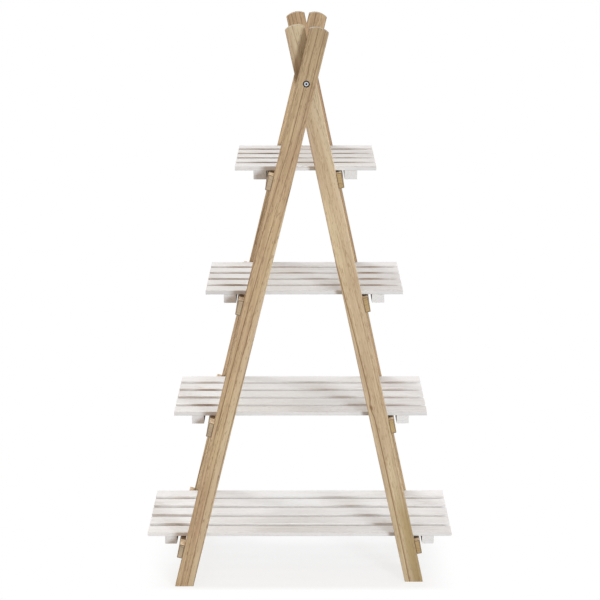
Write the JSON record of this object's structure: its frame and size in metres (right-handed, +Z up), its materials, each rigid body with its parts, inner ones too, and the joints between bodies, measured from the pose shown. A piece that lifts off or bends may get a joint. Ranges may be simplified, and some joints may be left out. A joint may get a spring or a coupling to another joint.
{
  "type": "folding triangle shelf",
  "caption": "Folding A-frame shelf: two wooden ladders cross on pivot bolts and carry slatted, whitewashed shelves that lift off.",
  "frame": {"origin": "on the floor, under the middle of the lowest shelf, which is the middle of the part's box", "axes": "+X to the right as seen from the front, +Y to the back, +Z up"},
  "size_m": [0.7708, 0.3482, 1.4025],
  "materials": {
    "left_wood": "raw, planed",
    "right_wood": "raw, planed",
    "white_wood": "whitewashed, matt",
    "zinc": "zinc plated",
    "dark_steel": "blackened"
  },
  "bodies": {
    "left_ladder": {"left_front_leg": "left_wood", "left_back_leg": "left_wood", "left_rung_1": "left_wood", "left_rung_2": "left_wood", "left_rung_3": "left_wood", "left_rung_4": "left_wood", "left_ladder_screws": "zinc", "front_pivot_bolt": "zinc", "front_bolt_washer": "dark_steel", "front_spacer_washer": "dark_steel", "front_sleeve_nut": "zinc", "back_pivot_bolt": "zinc", "back_bolt_washer": "dark_steel", "back_spacer_washer": "dark_steel", "back_sleeve_nut": "zinc"},
    "right_ladder": {"right_front_leg": "right_wood", "right_back_leg": "right_wood", "right_rung_1": "right_wood", "right_rung_2": "right_wood", "right_rung_3": "right_wood", "right_rung_4": "right_wood", "right_ladder_screws": "zinc"},
    "shelf_1": {"shelf_1_slat_1": "white_wood", "shelf_1_slat_2": "white_wood", "shelf_1_slat_3": "white_wood", "shelf_1_slat_4": "white_wood", "shelf_1_slat_5": "white_wood", "shelf_1_left_batten": "white_wood", "shelf_1_right_batten": "white_wood", "shelf_1_screws": "zinc"},
    "shelf_2": {"shelf_2_slat_1": "white_wood", "shelf_2_slat_2": "white_wood", "shelf_2_slat_3": "white_wood", "shelf_2_slat_4": "white_wood", "shelf_2_slat_5": "white_wood", "shelf_2_left_batten": "white_wood", "shelf_2_right_batten": "white_wood", "shelf_2_screws": "zinc"},
    "shelf_3": {"shelf_3_slat_1": "white_wood", "shelf_3_slat_2": "white_wood", "shelf_3_slat_3": "white_wood", "shelf_3_slat_4": "white_wood", "shelf_3_slat_5": "white_wood", "shelf_3_left_batten": "white_wood", "shelf_3_right_batten": "white_wood", "shelf_3_screws": "zinc"},
    "shelf_4": {"shelf_4_slat_1": "white_wood", "shelf_4_slat_2": "white_wood", "shelf_4_slat_3": "white_wood", "shelf_4_slat_4": "white_wood", "shelf_4_slat_5": "white_wood", "shelf_4_left_batten": "white_wood", "shelf_4_right_batten": "white_wood", "shelf_4_screws": "zinc"}
  },
  "joints": [
    {"name": "ladder_fold", "type": "hinge", "parent": "left_ladder", "child": "right_ladder", "pos_m": [0.018, 0, 1.272], "axis": [0, 1, 0], "range_deg": [0, 25.4]},
    {"name": "shelf_1_lift", "type": "slide", "parent": "left_ladder", "child": "shelf_1", "axis": [0, 0, 1], "range_m": [0, 0.06]},
    {"name": "shelf_2_lift", "type": "slide", "parent": "left_ladder", "child": "shelf_2", "axis": [0, 0, 1], "range_m": [0, 0.06]},
    {"name": "shelf_3_lift", "type": "slide", "parent": "left_ladder", "child": "shelf_3", "axis": [0, 0, 1], "range_m": [0, 0.06]},
    {"name": "shelf_4_lift", "type": "slide", "parent": "left_ladder", "child": "shelf_4", "axis": [0, 0, 1], "range_m": [0, 0.06]}
  ]
}
